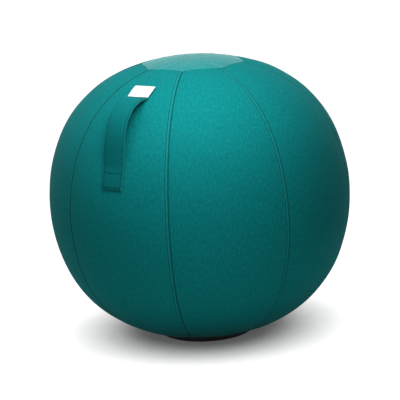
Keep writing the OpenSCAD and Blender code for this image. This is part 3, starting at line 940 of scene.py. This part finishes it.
satin = Finish("label_satin", 0.55, Sheen_Weight=0.1)
satin_map = satin.cloth_map()
ribs = satin.wave(satin_map, 0.9, "Y", 0.1)
flecks = satin.noise(satin.cloth_map(0.8, 3.0), 1.0)
satin.colour(satin.blend(satin.stretch(flecks), (226, 229, 229), (240, 242, 242)))
satin.bump((ribs, 0.0001, 0.6), (flecks, 0.00008, 0.4))
label = strap_sheet("blank_label", LABEL_HALF, *LABEL_Q, label_height, LABEL_T,
                    [LABEL_S[0], LABEL_S[1]], satin.material, "label_fabric", "label")
label_thread = thread_finish("label_thread", (205, 210, 210))
for word, s_row in (("low", LABEL_S[0] + HEM), ("high", LABEL_S[1] - HEM)):
    x = np.linspace(-LABEL_HALF + HEM, LABEL_HALF - HEM, 20)
    q = q_from_length(s_row + 0 * x)
    path = on_strap(x, q, label_height(x, s_row + 0 * x) + 0.05 * MM)
    normal = ball_normal(-math.pi / 2 + 0 * x, q)
    stitch_row(f"label_stitch_{word}", path, normal, "ball", "label_fabric", label_thread,
               0.22 * MM)
label_len = float(LABEL_S[1] - LABEL_S[0])
print("label:", round(2 * LABEL_HALF / MM), "x", round(label_len / MM, 1), "mm")

# %% [markdown]
# ## The base
#
# The base is a tough, non-slip artificial leather. It is flat where the ball stands,
# rounds up over the stabilising ring and meets the gores in a seam. Its shape is a
# profile turned about the upright axis. Its grain comes from a cell pattern: each
# cell is a small pebble, and the lines between them are the creases.

# %% Base panel
SOLE_R = 95 * MM
SOLE_EDGE_R = 10 * MM
BASE_T = 1.5 * MM
RIM_IN = 112 * MM
RIM_END = 122 * MM
RIM_STITCH = 5 * MM


def base_profile():
    """The base's outer face from the middle outwards: the flat sole, a rounded edge
    of 70 degrees, a straight slope, and the rim, which follows the ball's outline
    and folds in at the seam."""
    flat = np.linspace(0, SOLE_R, 24)[:-1]
    bend = np.radians(np.linspace(0, 70, 12))
    edge_r = SOLE_R + SOLE_EDGE_R * np.sin(bend)
    edge_z = SOLE_EDGE_R - SOLE_EDGE_R * np.cos(bend)
    start = np.array([edge_r[-1], edge_z[-1]])
    end = np.array(outline(q_at(RIM_IN)))
    way = np.linspace(0, 1, 9)[1:-1]
    slope = start[:, None] * (1 - way) + end[:, None] * way
    d, h = fold_section(0.0)
    rim_s = float(length_from_q(q_at(RIM_END)))
    first_s = float(length_from_q(q_at(RIM_IN)))
    inner = np.linspace(first_s, rim_s - 1.6 * MM, 9)
    stitch = -0.3 * MM * bell(inner - (rim_s - RIM_STITCH), 0.9 * MM)
    s = np.concatenate([inner, (rim_s - d)[::-1]])
    height = np.concatenate([stitch, h[::-1]])
    rim_r, rim_z = outline(q_from_length(s), height)
    return (np.concatenate([flat, edge_r, slope[0], rim_r]),
            np.concatenate([0 * flat, edge_z, slope[1], rim_z]))


leather = Finish("base_leather", 0.62)
leather.shader.inputs["Specular IOR Level"].default_value = 0.35
grain_map = leather.object_map(1000)
pebbles = leather.node("ShaderNodeTexVoronoi", ("Vector", grain_map), ("Scale", 0.75),
                       feature="DISTANCE_TO_EDGE").outputs["Distance"]
crease = leather.stretch(pebbles, 0.0, 0.22)
pores = leather.noise(grain_map, 2.2)
leather.colour(leather.blend(crease, (12, 13, 14), (27, 29, 30)))
leather.roughness(leather.stretch(pores, 0.3, 0.7, 0.55, 0.72))
leather.bump((crease, 0.0002, 0.6), (pores, 0.00008, 0.4))
profile_r, profile_z = base_profile()
base = revolved_piece("base_cover", profile_r, profile_z, BASE_T, 192)
place(base, "ball", "base_leather", "base_panel")
wear(base, leather.material)
rim_stitch_s = float(length_from_q(q_at(RIM_END))) - RIM_STITCH
turn = np.linspace(0, 2 * math.pi, 210)
path = on_ball(turn, q_from_length(rim_stitch_s), -0.12 * MM)
stitch_row("base_topstitch", path, ball_normal(turn, q_from_length(rim_stitch_s)), "ball",
           "base_leather", thread_finish("base_thread", (20, 24, 26)))
print("base faces:", len(base.data.polygons))

# %% [markdown]
# ## The bladder, its ring and its valve
#
# These lie inside the cover. The bladder is a blown skin with faint moulded bands
# and a pocket underneath for the valve. It is turned from a profile too, and the
# bands are a gentle wave on it. The ring is foam rubber. The valve's seat and plug
# keep the hard model's form, with the plug's edges softened.

# %% Bladder, ring and valve
POCKET_R, POCKET_Z = 20 * MM, 18 * MM
VALVE_HOLE_R = 7.2 * MM
BLADDER_DEPTH, BLADDER_T = 4.3 * MM, 0.8 * MM
BLADDER_BAND = 24 * MM


def bladder_profile():
    """The bladder's outer face: from the valve's hole out over the pocket's floor,
    down its wall, and up the outline at a depth, with faint bands."""
    floor_r = np.linspace(VALVE_HOLE_R, POCKET_R - 0.1 * MM, 5)
    wall_z = np.linspace(POCKET_Z, 5.2 * MM, 8)
    s = np.linspace(float(length_from_q(q_at(21 * MM))), FULL_LEN, 200)
    calm = smooth_step((s - 30 * MM) / (60 * MM)) * smooth_step((FULL_LEN - s) / (90 * MM))
    bands = -0.35 * MM * calm * (0.5 - 0.5 * np.cos(2 * math.pi * s / BLADDER_BAND))
    r, z = outline(q_from_length(s), bands - BLADDER_DEPTH)
    r[-1] = 0
    return (np.concatenate([floor_r, 0 * wall_z + POCKET_R, r]),
            np.concatenate([0 * floor_r + POCKET_Z, wall_z, z]))


vinyl = Finish("bladder_vinyl", 0.42, Coat_Weight=0.15)
vinyl_map = vinyl.object_map(1000)
cloud = vinyl.noise(vinyl_map, 0.02)
vinyl.colour(vinyl.blend(cloud, (38, 52, 56), (50, 66, 70)))
vinyl.bump((vinyl.noise(vinyl_map, 0.8), 0.0001, 0.4))
blown_r, blown_z = bladder_profile()
bladder = revolved_piece("blown_bladder", blown_r, blown_z, BLADDER_T, 128)
place(bladder, "ball", "bladder_pvc", "bladder")
wear(bladder, vinyl.material)

rubber = Finish("ring_rubber", 0.85)
rubber_map = rubber.object_map(1000)
cells = rubber.noise(rubber_map, 0.9, 4.0, 0.7)
rubber.colour(rubber.blend(cells, (46, 48, 50), (66, 68, 70)))
rubber.bump((cells, 0.0004, 0.6))
wear(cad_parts["base_ring"], rubber.material)

valve = Finish("valve_plastic", 0.4)
valve_map = valve.object_map(1000)
haze = valve.noise(valve_map, 0.4)
valve.colour(valve.blend(haze, (222, 222, 216), (236, 236, 230)))
valve.roughness(valve.stretch(haze, 0.3, 0.7, 0.35, 0.5))
valve.bump((valve.noise(valve_map, 3.0), 0.00004, 0.4))
wear(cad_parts["valve_seat"], valve.material)
print("bladder faces:", len(bladder.data.polygons))

# %% [markdown]
# ### Softening a hard form
#
# A cast or turned piece never has razor edges. The hard model's mesh is loose
# triangles, so a copy of it is joined at its corners, its flat faces are made whole
# again, and a Bevel modifier rounds the edges.

# %% Softened copies
def softened(name, node, width, body, slot, finish, angle=32):
    """A copy of a hard node with its corners joined, its flats made whole and its
    edges rounded to a width."""
    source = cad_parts[node].data
    points = np.zeros(len(source.vertices) * 3)
    source.vertices.foreach_get("co", points)
    corners = np.zeros(len(source.loops), np.int32)
    source.loops.foreach_get("vertex_index", corners)
    piece = finish_mesh(name, points, corners.reshape(-1, 3), sharp=angle)
    shape = bmesh.new()
    shape.from_mesh(piece.data)
    bmesh.ops.dissolve_limit(shape, angle_limit=math.radians(1.5), verts=shape.verts,
                             edges=shape.edges)
    shape.to_mesh(piece.data)
    shape.free()
    bevel = piece.modifiers.new("rounded", "BEVEL")
    bevel.width = width
    bevel.segments = 2
    bevel.limit_method = "ANGLE"
    bevel.angle_limit = math.radians(angle)
    place(piece, body, slot, node)
    return wear(piece, finish)


softened("valve_stopper", "valve_plug", 0.35 * MM, "plug", "valve_plastic", valve.material)
print("softened the plug")

# %% [markdown]
# ## The zip
#
# A coil zip has two woven tapes, each with a spiral of stiff nylon sewn along its
# edge. The spiral's turns stand up and lean towards the other side's, half a turn
# out of step. One tube per side follows the spiral: a flat oval across the chain,
# carried along the arc. Teeth placed one by one would need a hundred more objects.

# %% Tapes and coils
ZIP_FROM, ZIP_TO = math.radians(22.5), math.radians(157.5)
CHAIN_R = 128.1 * MM
CHAIN_GAP = 1.2 * MM
COIL_W, COIL_H = 2.5 * MM, 1.9 * MM
TAPE_W, TAPE_T = 14 * MM, 0.6 * MM
TAPE_TOP = -1.75 * MM
TAPE_SHORT = 1.2 * MM
SLACK = 0.05 * MM
CHAIN_FROM, CHAIN_TO = math.radians(24.42), math.radians(155.58)

tape_finish = Finish("zip_tape_weave", 0.85, Sheen_Weight=0.1)
herring = tape_finish.wave(tape_finish.cloth_map(), 0.5, "DIAGONAL", 0.2)
rib = tape_finish.wave(tape_finish.cloth_map(), 0.28, "X", 0.0)
tape_finish.colour(tape_finish.blend(herring, (11, 13, 14), (26, 29, 31)))
tape_finish.bump((herring, 0.00015, 0.7), (rib, 0.0002, 0.5))
coil_finish = Finish("zip_coil_nylon", 0.38)
wander = coil_finish.noise(coil_finish.object_map(1000), 0.5)
coil_finish.colour(coil_finish.blend(wander, (20, 22, 24), (40, 43, 46)))
coil_finish.roughness(coil_finish.stretch(wander, 0.3, 0.7, 0.3, 0.45))
coil_finish.bump((wander, 0.00005, 0.3))


def zip_tape(name, node, r0, r1):
    """One tape: a strip of the ball's surface at the zip's depth."""
    pad = 0.75 * MM / CHAIN_R
    turn = np.linspace(ZIP_FROM + pad, ZIP_TO - pad, 140)[None, :]
    s = np.linspace(float(length_from_q(q_at(r0))), float(length_from_q(q_at(r1))), 10)[:, None]
    wave = SLACK * ripple(turn * CHAIN_R + 0 * s, 61, 17 * MM)
    top = on_ball(turn, q_from_length(s), TAPE_TOP + wave - SLACK)
    cloth = np.stack(np.broadcast_arrays(turn * CHAIN_R, s), -1) / MM
    tape = sheet_piece(name, top, TAPE_T - 2 * SLACK, cloth)
    place(tape, "ball", "zip_tape", node)
    wear(tape, tape_finish.material)


def coil(name, node, side, wire=0.36 * MM, pitch=1.5 * MM, steps=14, ring_sides=6):
    """A tube along a spiral. Across the chain it goes w/2 cos t, over the tape
    h/2 sin t, and along the arc one pitch for each turn; side is -1 or 1 from the
    chain's middle, and the other side's spiral is half a turn out of step."""
    length = (CHAIN_TO - CHAIN_FROM) * CHAIN_R
    count = int(length / pitch)
    t = np.linspace(0, 2 * math.pi * count, count * steps + 1)
    w, h = COIL_W / 2 - wire, COIL_H / 2 - wire
    phase = 0.0 if side > 0 else math.pi
    middle = CHAIN_R + side * (CHAIN_GAP + COIL_W) / 2 - side * 0.22 * MM
    across = middle + side * w * np.cos(t)
    over = TAPE_TOP + 0.15 * MM + COIL_H / 2 + h * np.sin(t)
    turn = CHAIN_FROM + (t + phase) / t[-1] * (length - pitch) / CHAIN_R
    path = on_ball(turn, q_from_length(length_from_q(q_at(across))), over)
    tangent = np.gradient(path, axis=0)
    tangent /= np.linalg.norm(tangent, axis=-1, keepdims=True)
    arc = np.stack([-np.sin(turn), np.cos(turn), 0 * turn], -1)
    first = arc - tangent * np.sum(arc * tangent, -1, keepdims=True)
    first /= np.linalg.norm(first, axis=-1, keepdims=True)
    second = np.cross(tangent, first)
    a = np.linspace(0, 2 * math.pi, ring_sides, endpoint=False)
    rings = (path[:, None] + wire * (first[:, None] * np.cos(a)[None, :, None]
                                     + second[:, None] * np.sin(a)[None, :, None]))
    index = np.arange(len(t) * ring_sides).reshape(len(t), ring_sides)
    faces = cell_corners(np.hstack([index, index[:, :1]])).tolist()
    faces += [index[0, ::-1].tolist(), index[-1].tolist()]
    piece = finish_mesh(name, rings, faces, merge=False, sharp=80)
    place(piece, "ball", "zip_coil", node)
    return wear(piece, coil_finish.material)


inner_r, outer_r = CHAIN_R - CHAIN_GAP / 2, CHAIN_R + CHAIN_GAP / 2
zip_tape("zip_tape_in", "zip_tape_lower", inner_r - TAPE_W + TAPE_SHORT, inner_r)
zip_tape("zip_tape_out", "zip_tape_upper", outer_r, outer_r + TAPE_W)
coils = [coil("zip_coil_in", "zip_chain_lower", -1), coil("zip_coil_out", "zip_chain_upper", 1)]
print("coil faces:", [len(c.data.polygons) for c in coils])

# %% [markdown]
# ### The zip's metal
#
# Slider, pull tab and stops are die-cast zinc with a dark nickel plate, worn a
# little brighter in patches. They are softened copies of the hard model. The slider
# and its pull ride on bodies of their own, so they move.

# %% Slider, pull and stops
metal = Finish("zip_nickel", 0.32, Metallic=1.0)
metal_map = metal.object_map(1000)
rubbed = metal.noise(metal_map, 0.25)
metal.colour(metal.blend(metal.stretch(rubbed, 0.35, 0.7), (96, 98, 100), (150, 152, 154)))
metal.roughness(metal.stretch(metal.noise(metal_map, 0.9), 0.3, 0.7, 0.26, 0.42))
metal.bump((metal.noise(metal_map, 2.5), 0.00003, 0.3))
for name, node, rounding, body in (("slider_body", "zip_slider", 0.22, "slider"),
                                   ("pull_tab", "zip_pull", 0.22, "pull"),
                                   ("stop_closed_end", "zip_stop_closed", 0.3, "ball"),
                                   ("stop_open_end", "zip_stop_open", 0.3, "ball")):
    softened(name, node, rounding * MM, body, "zip_metal", metal.material)
print("metal pieces done")

# %% [markdown]
# ## Floor, light and camera
#
# The ball stands on a white sweep. A camera ray sees the floor mostly as a white
# light of its own, so it stays white, and that light fades where the ball closes off
# the sky above a spot, which is the soft shadow round the base. For the light that
# bounces about, the same floor is a mid grey that turns nearly black under the ball,
# because a white one would light up the dark underside. A large soft lamp overhead
# lights the cap, a small one high in front and a weak one at its left make the broad
# glow, two weak ones lower down reach under the widest part, and a dim world fills
# in the rest.

# %% Floor and world
SHADOW_REACH = 0.22
SHADOW_LEAN = (0.10, -0.15, 1.0)
WORLD_FILL = 0.09


def ray_seen(tree):
    """1 for a ray from the camera, off a mirror or through glass, and 0 for the rest."""
    ray = add_node(tree, "ShaderNodeLightPath")
    seen = 0.0
    for kind in ("Is Camera Ray", "Is Glossy Ray", "Is Transmission Ray"):
        seen = add_node(tree, "ShaderNodeMath", (0, seen), (1, ray.outputs[kind]),
                        operation="MAXIMUM").outputs[0]
    return seen


def floor_finish():
    """White for the camera, glass and mirrors, with the shadow kept; grey for bounces.
    The shadow is measured from a normal that leans a little to the front and right."""
    floor = Finish("floor_white", 1.0)
    tree = floor.tree
    far = floor.node("ShaderNodeVectorMath", (0, floor.object_map()), operation="LENGTH")
    floor.colour(floor.stretch(far.outputs["Value"], 0.22, 0.42, 0.05, 0.66))
    floor.shader.inputs["Specular IOR Level"].default_value = 0.0
    lean = floor.node("ShaderNodeCombineXYZ", *zip("XYZ", SHADOW_LEAN))
    open_sky = floor.node("ShaderNodeAmbientOcclusion", ("Distance", SHADOW_REACH),
                          ("Normal", lean.outputs[0]), samples=16)
    light = floor.stretch(open_sky.outputs["AO"], 0.19, 0.60, 0.08, 1.0)
    pale = floor.node("ShaderNodeBsdfDiffuse", ("Color", (0.30, 0.33, 0.325, 1)))
    glow = floor.node("ShaderNodeEmission", ("Color", (1, 1, 1, 1)), ("Strength", light))
    both = floor.node("ShaderNodeAddShader", (0, pale.outputs[0]), (1, glow.outputs[0]))
    mix = floor.node("ShaderNodeMixShader", (0, ray_seen(tree)), (1, floor.shader.outputs[0]),
                     (2, both.outputs[0]))
    output = next(n for n in tree.nodes if n.type == "OUTPUT_MATERIAL")
    tree.links.new(mix.outputs[0], output.inputs["Surface"])
    return floor.material


floor_mesh = bpy.data.meshes.new("floor")
reach, floor_z = 8.0, -0.3 * MM
floor_mesh.from_pydata([(-reach, -reach, floor_z), (reach, -reach, floor_z),
                        (reach, reach, floor_z), (-reach, reach, floor_z)], [], [(0, 1, 2, 3)])
floor = bpy.data.objects.new("floor", floor_mesh)
bpy.context.scene.collection.objects.link(floor)
wear(floor, floor_finish())

world = bpy.data.worlds.new("studio")
bpy.context.scene.world = world
world.use_nodes = True
sky = world.node_tree
sky.nodes.clear()
fill = add_node(sky, "ShaderNodeBackground", ("Color", (0.95, 1.0, 1.0, 1)),
                ("Strength", WORLD_FILL))
white = add_node(sky, "ShaderNodeBackground", ("Color", (1, 1, 1, 1)), ("Strength", 1.0))
choose = add_node(sky, "ShaderNodeMixShader", (0, ray_seen(sky)), (1, fill.outputs[0]),
                  (2, white.outputs[0]))
add_node(sky, "ShaderNodeOutputWorld", ("Surface", choose.outputs[0]))
print("floor and world done")

# %% Lamps and camera
CENTRE = Vector((0, 0, HALF_H))
CAMERA_TURN, CAMERA_UP, CAMERA_ROLL = (math.radians(a) for a in (34.1, 13.26, -3.15))
CAMERA_FAR = 4.0
toward = Vector((math.sin(CAMERA_TURN) * math.cos(CAMERA_UP),
                 -math.cos(CAMERA_TURN) * math.cos(CAMERA_UP), math.sin(CAMERA_UP)))
right = Vector((math.cos(CAMERA_TURN), math.sin(CAMERA_TURN), 0))
front = Vector((math.sin(CAMERA_TURN), -math.cos(CAMERA_TURN), 0))


def lamp(name, sideways, forward, up, size, power):
    """A square soft lamp at a place given from the ball's centre: to the camera's
    right, towards it, and up. It faces the ball."""
    data = bpy.data.lights.new(name, "AREA")
    data.size = size
    data.energy = power
    place_at = CENTRE + right * sideways + front * forward + Vector((0, 0, up))
    made = bpy.data.objects.new(name, data)
    made.location = place_at
    made.rotation_mode = "QUATERNION"
    made.rotation_quaternion = (place_at - CENTRE).to_track_quat("Z", "Y")
    made.visible_camera = False
    bpy.context.scene.collection.objects.link(made)


lamp("overhead", 0.0, 0.0, 2.2, 1.4, 42)
lamp("near_high", 0.0, 0.53, 0.53, 0.25, 1.85)
lamp("near_low", 0.0, 0.9, 0.03, 0.3, 0.55)
lamp("high_left", -0.447, 0.258, 0.737, 0.35, 0.6)
lamp("low_left", -0.795, 0.289, 0.308, 0.35, 0.25)

camera_data = bpy.data.cameras.new("camera")
camera_data.sensor_width = 36
camera_data.lens = 167.9
camera_data.shift_x = 0.0007
camera_data.shift_y = -0.0143
camera = bpy.data.objects.new("camera", camera_data)
aim = toward.to_track_quat("Z", "Y").to_matrix().to_4x4()
camera.matrix_world = (Matrix.Translation(CENTRE + toward * CAMERA_FAR) @ aim
                       @ Matrix.Rotation(CAMERA_ROLL, 4, "Z"))
bpy.context.scene.collection.objects.link(camera)
bpy.context.scene.camera = camera
bpy.context.scene.view_settings.view_transform = "Standard"
print("lamps and camera done")
